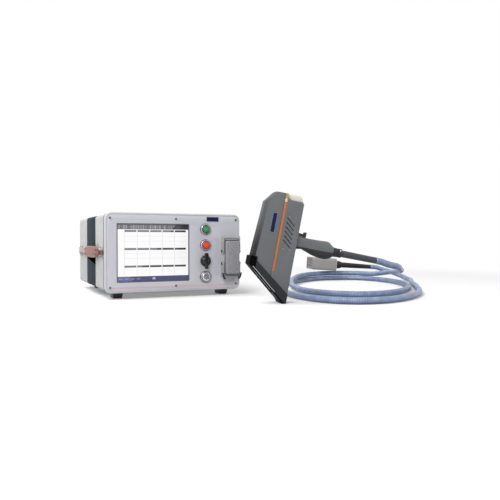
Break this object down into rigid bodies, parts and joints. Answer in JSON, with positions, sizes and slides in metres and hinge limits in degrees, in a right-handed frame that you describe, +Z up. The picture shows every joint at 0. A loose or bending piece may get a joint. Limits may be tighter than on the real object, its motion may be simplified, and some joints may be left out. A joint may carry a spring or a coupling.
{
  "type": "bench control unit with hand-held probe",
  "caption": "Bench instrument with screen, push buttons, selector and latched connector, beside a pistol-grip probe on a coiled hose with a plug.",
  "frame": {"origin": "on the floor, under the middle of the box round the control unit and the probe", "axes": "-Y out of the control unit's front panel, +X towards its connector side, +Z up"},
  "size_m": [1.0957, 0.76, 0.2523],
  "materials": {
    "light_alloy": "satin",
    "panel_paint": "satin",
    "slate_paint": "satin",
    "steel": "satin",
    "chrome": "polished",
    "dark_steel": "satin",
    "black_plastic": "matte",
    "rubber": "matte",
    "screen_glass": "gloss",
    "green_lens": "gloss",
    "red_lens": "gloss",
    "diecast_grey": "textured",
    "strap_leather": "satin",
    "strap_end_leather": "satin",
    "circuit_board": "satin",
    "tinned_steel": "satin",
    "shell_grey": "satin",
    "orange_trim": "satin",
    "cream_plastic": "satin",
    "charcoal_grip": "matte",
    "hose_blue": "satin",
    "hood_grey": "satin"
  },
  "bodies": {
    "set": {"front_bezel": "light_alloy", "front_panel": "panel_paint", "front_frame": "light_alloy", "sleeve": "slate_paint", "rear_frame": "light_alloy", "rear_panel": "light_alloy", "foot_front_left": "rubber", "foot_front_right": "rubber", "foot_rear_left": "rubber", "foot_rear_right": "rubber", "screen_gasket": "black_plastic", "screen_glass": "screen_glass", "display_module": "tinned_steel", "green_button_bezel": "chrome", "red_button_bezel": "chrome", "selector_bezel": "black_plastic", "steel_button_ring": "chrome", "contact_blocks": "black_plastic", "connector_housing": "diecast_grey", "connector_insert": "black_plastic", "connector_seal": "rubber", "connector_cover": "diecast_grey", "strap_grip": "strap_leather", "strap_end_front": "strap_end_leather", "strap_end_rear": "strap_end_leather", "strap_bracket_front": "steel", "strap_bracket_rear": "steel", "chassis_tray": "tinned_steel", "power_supply": "tinned_steel", "main_board": "circuit_board", "signal_module": "steel", "fan_frame": "black_plastic", "fan_guard": "steel", "power_inlet": "black_plastic", "probe_front_shell": "shell_grey", "probe_rear_shell": "shell_grey", "probe_band": "orange_trim", "probe_skirt": "rubber", "probe_window": "screen_glass", "optical_module": "dark_steel", "probe_cap": "cream_plastic", "handle_shell": "shell_grey", "handle_grip": "charcoal_grip", "handle_collar": "charcoal_grip", "gland_nut": "black_plastic", "hose_boot": "charcoal_grip", "hose": "hose_blue", "plug_boot": "black_plastic", "plug_gland": "black_plastic", "plug_hood": "hood_grey", "plug_insert": "diecast_grey"},
    "green_button": {"green_button": "green_lens"},
    "red_button": {"red_button": "red_lens"},
    "steel_button": {"steel_button": "steel"},
    "selector_knob": {"selector_knob": "black_plastic"},
    "upper_lever": {"upper_lever": "steel"},
    "lower_lever": {"lower_lever": "steel"},
    "trigger": {"trigger": "black_plastic"},
    "fan_rotor": {"fan_rotor": "black_plastic"},
    "power_rocker": {"power_rocker": "black_plastic"}
  },
  "joints": [
    {"name": "green_press", "type": "slide", "parent": "set", "child": "green_button", "axis": [0, 1, 0], "range_m": [0, 0.002], "stiffness_N_per_m": 800, "springref_m": -0.001},
    {"name": "red_press", "type": "slide", "parent": "set", "child": "red_button", "axis": [0, 1, 0], "range_m": [0, 0.002], "stiffness_N_per_m": 800, "springref_m": -0.001},
    {"name": "steel_press", "type": "slide", "parent": "set", "child": "steel_button", "axis": [0, 1, 0], "range_m": [0, 0.0015], "stiffness_N_per_m": 800, "springref_m": -0.001},
    {"name": "selector_turn", "type": "hinge", "parent": "set", "child": "selector_knob", "pos_m": [0.0145, -0.0782, 0.0895], "axis": [0, -1, 0], "range_deg": [-45, 45]},
    {"name": "upper_lever_swing", "type": "hinge", "parent": "set", "child": "upper_lever", "pos_m": [0.0795, -0.091, 0.1145], "axis": [1, 0, 0], "range_deg": [0, 100]},
    {"name": "lower_lever_swing", "type": "hinge", "parent": "set", "child": "lower_lever", "pos_m": [0.0795, -0.091, 0.0825], "axis": [-1, 0, 0], "range_deg": [0, 100]},
    {"name": "trigger_pull", "type": "hinge", "parent": "set", "child": "trigger", "pos_m": [0.15057, -0.30727, 0.15452], "axis": [0.2588, 0.9659, 0], "range_deg": [0, 8], "stiffness_Nm_per_rad": 0.15, "springref_deg": -2.86},
    {"name": "fan_spin", "type": "hinge", "parent": "set", "child": "fan_rotor", "pos_m": [-0.15, 0.3187, 0.1125], "axis": [0, 1, 0], "continuous": true},
    {"name": "power_switch", "type": "hinge", "parent": "set", "child": "power_rocker", "pos_m": [0.03, 0.33197, 0.126], "axis": [1, 0, 0], "range_deg": [-18, 0]}
  ]
}
